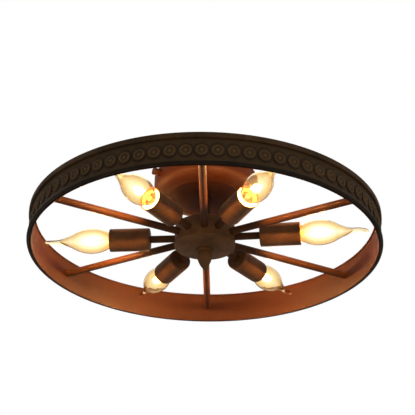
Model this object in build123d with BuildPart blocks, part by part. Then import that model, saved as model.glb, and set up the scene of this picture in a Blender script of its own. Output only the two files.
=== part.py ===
from build123d import *
from math import cos, radians, sin, sqrt
import os

# Wheel flush mount ceiling light, in millimetres.
# The origin is the centre of the ceiling bracket on the ceiling plane, with +Z up into the ceiling.
# Spokes lie at 0, 60, 120 ... degrees from +X, and the side screws of the canopy lie along X.

os.makedirs("parts", exist_ok=True)

# Shared fits
thread_gap = 0.05
seat_gap = 0.05
loose_gap = 0.3
cement_gap = 0.2
ear_gap = 2.8
tube_radius = 5.0
tube_bore = 3.75

# Wheel rim
rim_drop = 115.5
rim_height = 43.5
hoop_inner_radius = 233.7
hoop_thickness = 1.5
hoop_flange_width = 2.1
strip_thickness = 1.0
bead_depth = 4.75
top_bead_height = 7.5
bottom_bead_height = 4.0
bottom_bead_lift = 0.6
bead_bevel = 1.2

# Rosettes on the strip
rosette_count = 78
rosette_radius = 8.2
rosette_plate = 0.9
rosette_ring_radius = 5.8
rosette_ring_width = 1.0
rosette_ring_relief = 1.2
rosette_dot_radius = 2.2
rosette_dot_relief = 1.6

# Spokes and arms
spoke_count = 6
arm_angles = [25.0, 88.0, 146.0, 208.0, 266.0, 323.0]
arm_lift = 23.5
spoke_screw_radius = 2.0
spoke_screw_length = 12.0
spoke_screw_head_radius = 4.0

# Hub
hub_radius = 41.5
hub_wall = 2.0
hub_height = 28.5
hub_arm_depth = 16.5
hub_round = 2.0
cover_thickness = 1.5
cover_lip = 1.0
cover_crown = 6.0
cover_flat_radius = 13.0
strap_width = 10.0
strap_half_span = 17.0
strap_thickness = 1.5
strap_depth = 24.0
bolt_radius = 3.0
bolt_head_radius = 5.0
bolt_head_height = 4.0
bolt_grip = 12.0
splice_radius = 11.0

# Finial
finial_length = 29.0
finial_base_radius = 12.0
finial_base_height = 2.0
finial_neck_radius = 9.6
finial_body_radius = 10.2
finial_shoulder_radius = 4.2
finial_shoulder_rise = 3.5
finial_tip_radius = 1.8
finial_tip_round = 1.4

# Canopy and stem
canopy_radius = 72.0
canopy_depth = 31.0
canopy_skirt = 17.0
canopy_wall = 1.2
canopy_step_radius = 54.0
canopy_step_height = 2.5
canopy_step_width = 2.5
sleeve_radius = 6.5
stem_above_nut = 4.0
stem_below_nut = 1.5

# Jam nuts
nut_flats = 14.0
nut_thickness = 3.0

# Ceiling bracket, side screws and supply
bracket_width = 24.0
bracket_thickness = 2.0
ear_width = 16.0
ear_drop = 17.0
side_screw_drop = 10.0
side_screw_radius = 2.4
side_screw_head_radius = 5.0
side_screw_head_length = 10.0
side_screw_flutes = 16
side_screw_flute_radius = 0.5
slot_spacing = 70.0
slot_length = 14.0
slot_width = 5.0
cable_hole_radius = 8.0
earth_screw_place = 17.0
earth_screw_radius = 2.0
earth_washer_radius = 4.6
earth_washer_height = 0.8
earth_head_radius = 3.6
earth_head_height = 2.8
terminal_near = 10.0
terminal_length = 16.0
terminal_width = 20.0
terminal_height = 11.0
terminal_round = 1.0
terminal_screw_radius = 1.6
terminal_screw_depth = 2.0
supply_wire_radius = 1.1
supply_wire_offset = 1.6
supply_wire_bend = 7.0
supply_wire_drop = 8.0
lamp_wire_radius = 1.0
lamp_wire_offset = 1.4

# Socket cups and lamp holders, along each arm from the axis of the light
cup_start = 75.5
cup_length = 55.0
cup_radius = 15.75
cup_wall = 1.0
cup_round = 1.5
holder_recess = 2.5
holder_neck_start = 80.5
holder_neck_radius = 7.5
holder_back = 95.0
holder_back_wall = 3.0
holder_gap = 0.6
holder_grip = 12.0
shell_clearance = 0.25
shell_thickness = 0.5
contact_thickness = 0.6
contact_radius = 3.6
contact_clearance = 0.3

# Bulbs
cap_length = 25.0
cap_inset = 3.0
cap_thread_radius = 6.95
cap_thread_root = 6.2
cap_thread_pitch = 2.82
cap_thread_turns = 4
cap_skirt_radius = 8.4
cap_skirt_length = 7.5
cap_wall = 0.5
button_height = 3.4
button_dome = 0.85
button_radius = 2.6
button_top_radius = 4.6
button_gap = 0.25
glass_wall = 0.9
glass_mouth_radius = 10.3
glass_shoulder_radius = 14.2
glass_shoulder_place = 8.0
glass_belly_radius = 17.5
glass_belly_place = 26.0
glass_waist_radius = 10.8
glass_waist_place = 50.0
glass_root_radius = 6.4
glass_root_place = 60.0
tail_bar_radius = 2.9
tail_bar_start = 13.0
tail_tip_radius = 2.2
tail_tip_round = 1.9
tail_rise_turn = 10.0
tail_rise_length = 10.0
tail_fall_turn = 34.0
tail_fall_length = 22.0
bulb_turns = [214.0, 241.0, 70.0, 24.0, 140.0, 8.0]

# Worked out sizes
bend = sqrt(0.5)
rim_bottom = -rim_drop
rim_top = rim_bottom + rim_height
arm_height = rim_bottom + arm_lift
hoop_outer_radius = hoop_inner_radius + hoop_thickness
strip_inner_radius = hoop_outer_radius + seat_gap
strip_outer_radius = strip_inner_radius + strip_thickness
strip_bottom = rim_bottom + bottom_bead_height
strip_top = rim_top - top_bead_height
spoke_angles = [360 / spoke_count * index for index in range(spoke_count)]
strap_angle = (arm_angles[0] + arm_angles[1]) / 2
hub_top = arm_height + hub_arm_depth
hub_bottom = hub_top - hub_height
hub_inner_radius = hub_radius - hub_wall
canopy_face = -canopy_depth
canopy_floor = canopy_face + canopy_wall
canopy_inner_radius = canopy_radius - canopy_wall
canopy_face_radius = canopy_step_radius - canopy_step_width
ear_reach = canopy_inner_radius - ear_gap
nut_hole_radius = tube_radius + thread_gap
nut_seat_radius = hub_inner_radius - nut_thickness
rod_start = nut_seat_radius - stem_below_nut
spoke_end = sqrt(hoop_inner_radius ** 2 - tube_radius ** 2) - seat_gap
cup_mouth = cup_start + cup_length
cup_floor = cup_start + cup_wall
holder_front = cup_mouth - holder_recess
holder_radius = cup_radius - cup_wall - holder_gap
holder_floor = holder_back + holder_back_wall
arm_end = holder_neck_start + holder_grip
glass_start = cup_mouth - cap_inset
glass_neck_radius = cap_skirt_radius - cap_wall - cement_gap
cap_start = glass_start - cap_length
thread_start = cap_start + button_height + button_gap
shell_bore = cap_thread_radius + shell_clearance
skirt_start = glass_start - cap_skirt_length
skirt_floor = skirt_start + 2 * cap_wall
tail_start = cup_mouth + glass_root_place
shell_end = skirt_start - shell_clearance
shell_start = cap_start + contact_clearance
strap_floor = hub_top - hub_wall - strap_depth
cover_rim = hub_bottom - cover_lip
cover_bottom = cover_rim - cover_crown
bolt_head_corner = bolt_head_radius * 2 / sqrt(3)
nipple_nut_top = hub_top - hub_wall - strap_thickness
nipple_top = canopy_floor + nut_thickness + stem_above_nut
nipple_bottom = nipple_nut_top - nut_thickness - stem_below_nut
splice_top = nipple_bottom - stem_below_nut
bracket_bottom = -bracket_thickness


def radial_plane(angle, radius, height=arm_height):
    """Plane square to a ray at this angle, facing outwards, with its X axis level."""
    ray = (cos(radians(angle)), sin(radians(angle)), 0)
    across = (-sin(radians(angle)), cos(radians(angle)), 0)
    origin = (radius * ray[0], radius * ray[1], height)
    return Plane(origin=origin, x_dir=across, z_dir=ray)


def arm_plane(angle, roll=0.0):
    """Plane that holds a ray at arm height: local X runs outwards, local Y is up before the roll."""
    ray = Vector(cos(radians(angle)), sin(radians(angle)), 0)
    side = Vector(sin(radians(angle)), -cos(radians(angle)), 0)
    return Plane(origin=(0, 0, arm_height), x_dir=ray, z_dir=side.rotate(Axis((0, 0, 0), ray), roll))


def arm_axis(angle):
    """Axis of an arm or spoke, pointing outwards."""
    return Axis((0, 0, arm_height), (cos(radians(angle)), sin(radians(angle)), 0))


def save(part, name):
    """Label one finished piece and write its file."""
    part.label = name
    export_step(part, f"parts/{name}.step")


# Rim hoop: a sheet band with a narrow flange turned inwards at its top edge
with BuildPart() as rim_hoop:
    with BuildSketch(Plane.XZ):
        with BuildLine():
            Polyline(
                (hoop_inner_radius, rim_bottom),
                (hoop_outer_radius, rim_bottom),
                (hoop_outer_radius, rim_top),
                (hoop_inner_radius - hoop_flange_width, rim_top),
                (hoop_inner_radius - hoop_flange_width, rim_top - hoop_thickness),
                (hoop_inner_radius, rim_top - hoop_thickness),
                close=True,
            )
        make_face()
    revolve(axis=Axis.Z)
    with BuildSketch(*[radial_plane(angle, hoop_inner_radius) for angle in spoke_angles]):
        Circle(spoke_screw_radius + thread_gap)
    extrude(amount=hoop_thickness, both=True, mode=Mode.SUBTRACT)
save(rim_hoop.part, "rim_hoop")

# Top bead: a bar ring on the outside of the hoop, with its outer edges bevelled
with BuildPart() as rim_top_bead:
    with BuildSketch(Plane.XZ) as top_bead_section:
        with Locations((strip_inner_radius, rim_top)):
            Rectangle(bead_depth, top_bead_height, align=(Align.MIN, Align.MAX))
        chamfer(top_bead_section.vertices().group_by(Axis.X)[-1], bead_bevel)
    revolve(axis=Axis.Z)
save(rim_top_bead.part, "rim_top_bead")

# Bottom bead: the same bar, whose bevelled underside leaves a groove beside the hoop's edge
with BuildPart() as rim_bottom_bead:
    with BuildSketch(Plane.XZ) as bottom_bead_section:
        with Locations((strip_inner_radius, strip_bottom)):
            bead_bar = bottom_bead_height - bottom_bead_lift
            Rectangle(bead_depth, bead_bar, align=(Align.MIN, Align.MAX))
        outer_corners = bottom_bead_section.vertices().group_by(Axis.X)[-1]
        lower_corners = bottom_bead_section.vertices().group_by(Axis.Y)[0]
        chamfer(set(outer_corners + lower_corners), bead_bevel)
    revolve(axis=Axis.Z)
save(rim_bottom_bead.part, "rim_bottom_bead")

# Rosette strip: a thin band between the beads, with clearance holes for the spoke screws
with BuildPart() as rosette_strip:
    with BuildSketch(Plane.XZ):
        with Locations((strip_inner_radius, strip_bottom)):
            Rectangle(strip_thickness, strip_top - strip_bottom, align=(Align.MIN, Align.MIN))
    revolve(axis=Axis.Z)
    with BuildSketch(*[radial_plane(angle, strip_inner_radius) for angle in spoke_angles]):
        Circle(spoke_screw_head_radius + loose_gap)
    extrude(amount=2 * strip_thickness, both=True, mode=Mode.SUBTRACT)
save(rosette_strip.part, "rosette_strip")

# Rosettes: pressed discs with a raised ring and a centre dot, one over each spoke screw
rosette_height = (strip_bottom + strip_top) / 2
rosette_axis = Axis((0, 0, rosette_height), (1, 0, 0))
with BuildPart() as rosette:
    with BuildSketch(Plane((0, 0, rosette_height), x_dir=(1, 0, 0), z_dir=(0, -1, 0))):
        with BuildLine():
            plate_face = strip_outer_radius + rosette_plate
            ring_inner = rosette_ring_radius - rosette_ring_width
            ring_outer = rosette_ring_radius + rosette_ring_width
            Line((plate_face, rosette_dot_radius), (plate_face, ring_inner))
            ThreePointArc(
                (plate_face, ring_inner),
                (plate_face + rosette_ring_relief, rosette_ring_radius),
                (plate_face, ring_outer),
            )
            Polyline(
                (plate_face, ring_outer),
                (plate_face, rosette_radius),
                (strip_outer_radius, rosette_radius),
                (strip_outer_radius, 0),
                (plate_face + rosette_dot_relief, 0),
            )
            ThreePointArc(
                (plate_face + rosette_dot_relief, 0),
                (plate_face + rosette_dot_relief * bend, rosette_dot_radius * bend),
                (plate_face, rosette_dot_radius),
            )
        make_face()
    revolve(axis=rosette_axis)
with BuildPart() as rim_rosettes:
    with PolarLocations(0, rosette_count):
        add(rosette.part)
save(rim_rosettes.part, "rim_rosettes")

# Spokes: round rods from inside the drum to the hoop, tapped at the outer end
for number, angle in enumerate(spoke_angles, 1):
    with BuildPart() as spoke:
        with BuildSketch(radial_plane(angle, rod_start)):
            Circle(tube_radius)
        extrude(amount=spoke_end - rod_start)
        with BuildSketch(radial_plane(angle, spoke_end)):
            Circle(spoke_screw_radius + thread_gap)
        extrude(amount=-spoke_screw_length, mode=Mode.SUBTRACT)
    save(spoke.part, f"spoke_{number}")

# Spoke screws: flat heads on the hoop, inside the strip's clearance holes
with BuildPart() as spoke_screws:
    shank_end = hoop_outer_radius - spoke_screw_length + hoop_thickness
    with BuildSketch(*[radial_plane(angle, shank_end) for angle in spoke_angles]):
        Circle(spoke_screw_radius)
    extrude(amount=hoop_outer_radius - shank_end)
    with BuildSketch(*[radial_plane(angle, hoop_outer_radius) for angle in spoke_angles]):
        Circle(spoke_screw_head_radius)
    extrude(amount=strip_thickness)
save(spoke_screws.part, "spoke_screws")

# Arms: wiring tubes from inside the drum into the neck of each lamp holder
for number, angle in enumerate(arm_angles, 1):
    with BuildPart() as arm:
        with BuildSketch(radial_plane(angle, rod_start)):
            Circle(tube_radius)
            Circle(tube_bore, mode=Mode.SUBTRACT)
        extrude(amount=arm_end - rod_start)
    save(arm.part, f"arm_{number}")

# Hub drum: a turned cup, open below, with tapped holes for six spokes and six arms
with BuildPart() as hub_drum:
    with BuildSketch(Plane.XY.offset(hub_bottom)):
        Circle(hub_radius)
    extrude(amount=hub_height)
    fillet(hub_drum.edges().group_by(Axis.Z)[-1], hub_round)
    with BuildSketch(Plane.XY.offset(hub_bottom)):
        Circle(hub_inner_radius)
    extrude(amount=hub_height - hub_wall, mode=Mode.SUBTRACT)
    with BuildSketch(Plane.XY.offset(hub_top)):
        Circle(nut_hole_radius)
    extrude(amount=-2 * hub_wall, mode=Mode.SUBTRACT)
    wall_planes = [radial_plane(angle, hub_radius) for angle in spoke_angles + arm_angles]
    with BuildSketch(*wall_planes):
        Circle(nut_hole_radius)
    extrude(amount=-2 * hub_wall, mode=Mode.SUBTRACT)
save(hub_drum.part, "hub_drum")

# Hub strap: a square bridge clamped under the drum's top plate, between two arms
with BuildPart() as hub_strap:
    strap_top = hub_top - hub_wall
    strap_plane = Plane(
        origin=(0, 0, strap_top),
        x_dir=(cos(radians(strap_angle)), sin(radians(strap_angle)), 0),
        z_dir=(sin(radians(strap_angle)), -cos(radians(strap_angle)), 0),
    )
    with BuildSketch(strap_plane):
        strap_height = strap_depth + strap_thickness
        Rectangle(2 * strap_half_span, strap_height, align=(Align.CENTER, Align.MAX))
        with Locations((0, -strap_thickness)):
            Rectangle(
                2 * (strap_half_span - strap_thickness),
                strap_height - 2 * strap_thickness,
                align=(Align.CENTER, Align.MAX),
                mode=Mode.SUBTRACT,
            )
    extrude(amount=strap_width / 2, both=True)
    with BuildSketch(Plane.XY.offset(strap_top)):
        Circle(nut_hole_radius)
    extrude(amount=-strap_thickness, mode=Mode.SUBTRACT)
    with BuildSketch(Plane.XY.offset(strap_floor - strap_thickness)):
        Circle(bolt_radius + thread_gap)
    extrude(amount=strap_thickness, mode=Mode.SUBTRACT)
save(hub_strap.part, "hub_strap")

# Cover bolt: stands head up in the strap and carries the cover and the finial
with BuildPart() as cover_bolt:
    with BuildSketch(Plane.XY.offset(strap_floor)):
        RegularPolygon(bolt_head_radius, 6, major_radius=False)
    extrude(amount=bolt_head_height)
    with BuildSketch(Plane.XY.offset(strap_floor)):
        Circle(bolt_radius)
    extrude(amount=cover_bottom - bolt_grip - strap_floor)
save(cover_bolt.part, "cover_bolt")

# Hub cover: a shallow bowl that closes the drum from below
cover_corner_radius = hub_radius - cover_lip
with BuildPart() as hub_cover:
    with BuildSketch(Plane.XZ):
        with BuildLine():
            bolt_hole = bolt_radius + loose_gap
            dish_side = ((cover_corner_radius + cover_flat_radius) / 2, cover_bottom + cover_lip)
            Polyline(
                (bolt_hole, cover_bottom),
                (cover_flat_radius, cover_bottom),
            )
            ThreePointArc(
                (cover_flat_radius, cover_bottom),
                dish_side,
                (cover_corner_radius, cover_rim),
            )
            Polyline(
                (cover_corner_radius, cover_rim),
                (hub_radius, hub_bottom - cover_lip / 2),
                (hub_radius, hub_bottom),
                (cover_corner_radius - cover_thickness, hub_bottom),
            )
            ThreePointArc(
                (cover_corner_radius - cover_thickness, hub_bottom),
                (dish_side[0] - cover_lip / 2, dish_side[1] + cover_thickness),
                (cover_flat_radius, cover_bottom + cover_thickness),
            )
            Polyline(
                (cover_flat_radius, cover_bottom + cover_thickness),
                (bolt_hole, cover_bottom + cover_thickness),
                (bolt_hole, cover_bottom),
            )
        make_face()
    revolve(axis=Axis.Z)
save(hub_cover.part, "hub_cover")

# Finial: a turned acorn on the cover bolt
with BuildPart() as finial:
    finial_tip = cover_bottom - finial_length
    finial_neck = cover_bottom - finial_base_height
    shoulder_height = finial_tip + finial_shoulder_rise
    with BuildSketch(Plane.XZ):
        with BuildLine():
            Polyline(
                (0, cover_bottom),
                (finial_base_radius, cover_bottom),
                (finial_base_radius, finial_neck),
                (finial_neck_radius, finial_neck),
            )
            ThreePointArc(
                (finial_neck_radius, finial_neck),
                (finial_body_radius, (finial_neck + shoulder_height) / 2 + finial_shoulder_rise),
                (finial_shoulder_radius, shoulder_height),
            )
            Polyline(
                (finial_shoulder_radius, shoulder_height),
                (finial_tip_radius, shoulder_height),
                (finial_tip_radius, finial_tip),
                (0, finial_tip),
                (0, cover_bottom),
            )
        make_face()
    revolve(axis=Axis.Z)
    fillet(finial.edges().group_by(Axis.Z)[0], finial_tip_round)
    with BuildSketch(Plane.XY.offset(cover_bottom)):
        Circle(bolt_radius + thread_gap)
    extrude(amount=-bolt_grip - finial_base_height, mode=Mode.SUBTRACT)
save(finial.part, "finial")

# Splice block: joins the supply pair to the six lamp pairs, and sits on the strap over the bolt head
with BuildPart() as splice_block:
    with BuildSketch(Plane.XY.offset(strap_floor)):
        Circle(splice_radius)
    extrude(amount=splice_top - strap_floor)
    with BuildSketch(Plane.XY.offset(strap_floor)):
        Circle(bolt_head_corner + loose_gap)
    extrude(amount=bolt_head_height + loose_gap, mode=Mode.SUBTRACT)
save(splice_block.part, "splice_block")

# Canopy: a spun pan with a straight skirt, a rounded shoulder, a step and a flat face
canopy_shoulder_bottom = canopy_face + canopy_step_height
shoulder_width = canopy_radius - canopy_step_radius
shoulder_height = canopy_depth - canopy_skirt - canopy_step_height
with BuildPart() as canopy:
    with BuildSketch(Plane.XZ):
        with BuildLine():
            Polyline(
                (nut_hole_radius, canopy_face),
                (canopy_face_radius, canopy_face),
                (canopy_step_radius, canopy_shoulder_bottom),
            )
            ThreePointArc(
                (canopy_step_radius, canopy_shoulder_bottom),
                (
                    canopy_radius - shoulder_width * (1 - bend),
                    -canopy_skirt - shoulder_height * bend,
                ),
                (canopy_radius, -canopy_skirt),
            )
            Polyline(
                (canopy_radius, -canopy_skirt),
                (canopy_radius, 0),
                (canopy_inner_radius, 0),
                (canopy_inner_radius, -canopy_skirt),
            )
            ThreePointArc(
                (canopy_inner_radius, -canopy_skirt),
                (
                    canopy_inner_radius - shoulder_width * (1 - bend),
                    -canopy_skirt - (shoulder_height - canopy_wall) * bend,
                ),
                (canopy_step_radius - canopy_wall, canopy_shoulder_bottom + canopy_wall),
            )
            Polyline(
                (canopy_step_radius - canopy_wall, canopy_shoulder_bottom + canopy_wall),
                (canopy_face_radius - canopy_wall, canopy_floor),
                (nut_hole_radius, canopy_floor),
                (nut_hole_radius, canopy_face),
            )
        make_face()
    revolve(axis=Axis.Z)
    side_planes = [radial_plane(angle, canopy_radius, -side_screw_drop) for angle in (0, 180)]
    with BuildSketch(*side_planes):
        Circle(side_screw_radius + loose_gap)
    extrude(amount=-2 * canopy_wall, mode=Mode.SUBTRACT)
save(canopy.part, "canopy")

# Ceiling bracket: a slotted strip with ears bent down for the side screws
with BuildPart() as ceiling_bracket:
    with BuildSketch(Plane.XY):
        Rectangle(2 * ear_reach, bracket_width)
        with GridLocations(slot_spacing, 0, 2, 1):
            SlotOverall(slot_length, slot_width, mode=Mode.SUBTRACT)
        Circle(cable_hole_radius, mode=Mode.SUBTRACT)
        with Locations((-earth_screw_place, 0)):
            Circle(earth_screw_radius + thread_gap, mode=Mode.SUBTRACT)
    extrude(amount=-bracket_thickness)
    ear_planes = [radial_plane(angle, ear_reach, 0) for angle in (0, 180)]
    with BuildSketch(*ear_planes):
        Rectangle(ear_width, ear_drop, align=(Align.CENTER, Align.MAX))
    extrude(amount=-bracket_thickness)
    screw_planes = [radial_plane(angle, ear_reach, -side_screw_drop) for angle in (0, 180)]
    with BuildSketch(*screw_planes):
        Circle(side_screw_radius + thread_gap)
    extrude(amount=-bracket_thickness, mode=Mode.SUBTRACT)
save(ceiling_bracket.part, "ceiling_bracket")

# Side screws: knurled thumb screws through the canopy's skirt into the ears
with BuildPart() as canopy_side_screws:
    shank_start = ear_reach - 2 * bracket_thickness
    shank_planes = [radial_plane(angle, shank_start, -side_screw_drop) for angle in (0, 180)]
    with BuildSketch(*shank_planes):
        Circle(side_screw_radius)
    extrude(amount=canopy_radius + loose_gap - shank_start)
    head_start = canopy_radius + loose_gap
    head_planes = [radial_plane(angle, head_start, -side_screw_drop) for angle in (0, 180)]
    with BuildSketch(*head_planes):
        Circle(side_screw_head_radius)
        with PolarLocations(side_screw_head_radius, side_screw_flutes):
            Circle(side_screw_flute_radius, mode=Mode.SUBTRACT)
    extrude(amount=side_screw_head_length)
save(canopy_side_screws.part, "canopy_side_screws")

# Earth screw: a hex head screw and its washer, up into the bracket
with BuildPart() as earth_screw:
    washer_bottom = bracket_bottom - earth_washer_height
    with BuildSketch(Plane.XY.offset(bracket_bottom)):
        with Locations((-earth_screw_place, 0)):
            Circle(earth_screw_radius)
    extrude(amount=bracket_thickness)
    with BuildSketch(Plane.XY.offset(bracket_bottom)):
        with Locations((-earth_screw_place, 0)):
            Circle(earth_washer_radius)
    extrude(amount=-earth_washer_height)
    with BuildSketch(Plane.XY.offset(washer_bottom)):
        with Locations((-earth_screw_place, 0)):
            RegularPolygon(earth_head_radius, 6, major_radius=False)
    extrude(amount=-earth_head_height)
save(earth_screw.part, "earth_screw")

# Terminal block: screwed under the bracket beside the cable hole, with two wire ports each side
with BuildPart() as terminal_block:
    block_centre = terminal_near + terminal_length / 2
    with BuildSketch(Plane.XY.offset(bracket_bottom)):
        with Locations((block_centre, 0)):
            Rectangle(terminal_length, terminal_width)
    extrude(amount=-terminal_height)
    fillet(terminal_block.edges().filter_by(Axis.Z), terminal_round)
    with BuildSketch(Plane((block_centre, 0, bracket_bottom - terminal_height))):
        with GridLocations(terminal_length / 2, terminal_width / 2, 2, 2):
            Circle(terminal_screw_radius)
    extrude(amount=terminal_screw_depth, mode=Mode.SUBTRACT)
save(terminal_block.part, "terminal_block")

# Stem: a threaded tube from the canopy to the hub, with a plain sleeve around it
with BuildPart() as stem_tube:
    with BuildSketch(Plane.XY.offset(nipple_bottom)):
        Circle(tube_radius)
        Circle(tube_bore, mode=Mode.SUBTRACT)
    extrude(amount=nipple_top - nipple_bottom)
save(stem_tube.part, "stem_tube")

with BuildPart() as stem_sleeve:
    with BuildSketch(Plane.XY.offset(hub_top)):
        Circle(sleeve_radius)
        Circle(nut_hole_radius + thread_gap, mode=Mode.SUBTRACT)
    extrude(amount=canopy_face - hub_top)
save(stem_sleeve.part, "stem_sleeve")

# Jam nuts: two on the stem, one on each rod inside the drum, and one on each arm inside its cup
with BuildPart() as jam_nuts:
    nut_planes = [
        Plane.XY.offset(canopy_floor),
        Plane.XY.offset(nipple_nut_top - nut_thickness),
    ]
    # a flat end on the drum's curved wall touches it at the nut's corners
    drum_seat = sqrt(hub_inner_radius ** 2 - (nut_flats / sqrt(3)) ** 2) - nut_thickness - seat_gap
    nut_planes += [radial_plane(angle, drum_seat) for angle in spoke_angles + arm_angles]
    nut_planes += [radial_plane(angle, cup_floor) for angle in arm_angles]
    with BuildSketch(*nut_planes):
        RegularPolygon(nut_flats / 2, 6, major_radius=False, rotation=30)
        Circle(nut_hole_radius, mode=Mode.SUBTRACT)
    extrude(amount=nut_thickness)
save(jam_nuts.part, "jam_nuts")

# Inner wiring: the supply pair down the stem, and a straight pair through each arm
with BuildPart() as inner_wiring:
    for side in (-1, 1):
        level = bracket_bottom - supply_wire_drop
        offset = side * supply_wire_offset
        with BuildLine() as supply_route:
            start = (terminal_near, offset, level)
            corner = (0, offset, level)
            end = (0, offset, splice_top)
            FilletPolyline(start, corner, end, radius=supply_wire_bend)
        with BuildSketch(Plane(origin=start, z_dir=(-1, 0, 0))):
            Circle(supply_wire_radius)
        sweep(path=supply_route.wire())
    splice_reach = splice_radius + seat_gap
    for angle in arm_angles:
        with BuildSketch(radial_plane(angle, splice_reach)):
            with Locations((-lamp_wire_offset, 0), (lamp_wire_offset, 0)):
                Circle(lamp_wire_radius)
        extrude(amount=holder_back - seat_gap - splice_reach)
save(inner_wiring.part, "inner_wiring")


def socket_cup(angle):
    """Spun cup around the lamp holder, open at its outer end."""
    with BuildPart() as cup:
        with BuildSketch(radial_plane(angle, cup_start)):
            Circle(cup_radius)
        extrude(amount=cup_length)
        back_edge = cup.edges().sort_by(arm_axis(angle))[0]
        fillet(back_edge, cup_round)
        with BuildSketch(radial_plane(angle, cup_mouth)):
            Circle(cup_radius - cup_wall)
        extrude(amount=cup_wall - cup_length, mode=Mode.SUBTRACT)
        with BuildSketch(radial_plane(angle, cup_start)):
            Circle(nut_hole_radius)
        extrude(amount=2 * cup_wall, mode=Mode.SUBTRACT)
    return cup.part


def lamp_holder(angle):
    """Insulating body on the arm's end, bored for the screw shell and the bulb's skirt."""
    skirt_bore = cap_skirt_radius + holder_gap
    shell_seat = shell_bore + shell_thickness + seat_gap
    with BuildPart() as holder:
        with BuildSketch(arm_plane(angle)):
            with BuildLine():
                Polyline(
                    (holder_neck_start, nut_hole_radius),
                    (holder_neck_start, holder_neck_radius),
                    (holder_back, holder_neck_radius),
                    (holder_back, holder_radius),
                    (holder_front, holder_radius),
                    (holder_front, skirt_bore),
                    (shell_end, skirt_bore),
                    (shell_end, shell_seat),
                    (holder_floor, shell_seat),
                    (holder_floor, 0),
                    (holder_back, 0),
                    (holder_back, nut_hole_radius),
                    close=True,
                )
            make_face()
        revolve(axis=arm_axis(angle))
    return holder.part


def holder_shell(angle):
    """Screw shell of the lamp holder."""
    with BuildPart() as shell:
        with BuildSketch(radial_plane(angle, shell_start)):
            Circle(shell_bore + shell_thickness)
            Circle(shell_bore, mode=Mode.SUBTRACT)
        extrude(amount=shell_end - shell_start)
    return shell.part


def holder_contact(angle):
    """Centre contact of the lamp holder: a post on its floor with a spring disc."""
    disc_start = cap_start - contact_clearance - contact_thickness
    with BuildPart() as contact:
        with BuildSketch(radial_plane(angle, holder_floor)):
            Circle(contact_radius / 2)
        extrude(amount=disc_start - holder_floor)
        with BuildSketch(radial_plane(angle, disc_start)):
            Circle(contact_radius)
        extrude(amount=contact_thickness)
    return contact.part


def bulb_contact(angle):
    """Insulating cone and solder button at the inner end of the bulb's cap."""
    with BuildPart() as button:
        with BuildSketch(arm_plane(angle)):
            with BuildLine():
                tip = cap_start
                cone_start = cap_start + button_dome
                middle = (cone_start - (cone_start - tip) * bend, button_radius * bend)
                ThreePointArc((tip, 0), middle, (cone_start, button_radius))
                Polyline(
                    (cone_start, button_radius),
                    (cap_start + button_height, button_top_radius),
                    (cap_start + button_height, 0),
                    (tip, 0),
                )
            make_face()
        revolve(axis=arm_axis(angle))
    return button.part


def bulb_cap(angle):
    """Screw cap: thread rings, then a plain skirt that holds the glass."""
    with BuildPart() as cap:
        root = cap_thread_root
        with BuildSketch(arm_plane(angle)):
            with BuildLine():
                Polyline(
                    (thread_start, 0),
                    (thread_start, root),
                )
                for turn in range(cap_thread_turns):
                    ring_start = thread_start + turn * cap_thread_pitch
                    ThreePointArc(
                        (ring_start, root),
                        (ring_start + cap_thread_pitch / 2, cap_thread_radius),
                        (ring_start + cap_thread_pitch, root),
                    )
                thread_end = thread_start + cap_thread_turns * cap_thread_pitch
                Polyline(
                    (thread_end, root),
                    (skirt_start, root),
                    (skirt_start, cap_skirt_radius - cap_wall),
                    (skirt_start + cap_wall, cap_skirt_radius),
                    (glass_start, cap_skirt_radius),
                    (glass_start, cap_skirt_radius - cap_wall),
                    (skirt_floor, cap_skirt_radius - cap_wall),
                    (skirt_floor, root - cap_wall),
                    (thread_start + cap_wall, root - cap_wall),
                    (thread_start + cap_wall, 0),
                    (thread_start, 0),
                )
            make_face()
        revolve(axis=arm_axis(angle))
    return cap.part


def glass_profile(inset):
    """Half outline of the glass, drawn in by a wall: neck, flare, belly arc and the arc to its tail."""
    neck_start = skirt_floor + cement_gap
    neck_radius = glass_neck_radius - inset
    shoulder = (cup_mouth + glass_shoulder_place, glass_shoulder_radius - inset)
    belly = (cup_mouth + glass_belly_place, glass_belly_radius - inset)
    waist = (cup_mouth + glass_waist_place, glass_waist_radius - inset)
    root = (tail_start - inset, glass_root_radius - inset)
    with BuildLine() as outline:
        Polyline(
            (tail_start - inset, 0),
            (neck_start, 0),
            (neck_start, neck_radius),
            (glass_start, neck_radius),
            (cup_mouth, glass_mouth_radius - inset),
            shoulder,
        )
        body = ThreePointArc(shoulder, belly, waist)
        TangentArc(waist, root, tangent=body % 1)
        Line(root, (tail_start - inset, 0))
    return outline.line


def bulb_glass(angle, roll):
    """Clear envelope: a hollow candle shape whose solid tail thins out along a gentle S."""
    bend_plane = arm_plane(angle, roll)
    with BuildPart() as glass:
        for inset, mode in ((0, Mode.ADD), (glass_wall, Mode.SUBTRACT)):
            with BuildSketch(bend_plane):
                with BuildLine():
                    add(glass_profile(inset))
                make_face()
            revolve(axis=arm_axis(angle), mode=mode)
        with BuildLine(bend_plane) as tail_route:
            rise_radius = tail_rise_length / radians(tail_rise_turn)
            fall_radius = tail_fall_length / radians(tail_fall_turn)
            rise = JernArc((tail_start, 0), (1, 0), rise_radius, tail_rise_turn)
            JernArc(rise @ 1, rise % 1, fall_radius, -tail_fall_turn)
        route = tail_route.wire()
        tail_radii = {0: glass_root_radius, tail_bar_start: tail_bar_radius, route.length: tail_tip_radius}
        for run, radius in tail_radii.items():
            place = route.position_at(run, position_mode=PositionMode.LENGTH)
            forward = route.tangent_at(run, position_mode=PositionMode.LENGTH)
            across = bend_plane.z_dir.cross(forward)
            with BuildSketch(Plane(origin=place, x_dir=across, z_dir=forward)):
                Circle(radius)
        sweep(path=route, multisection=True)
        fillet(glass.faces().sort_by(arm_axis(angle))[-1].edges(), tail_tip_round)
    return glass.part


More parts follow.
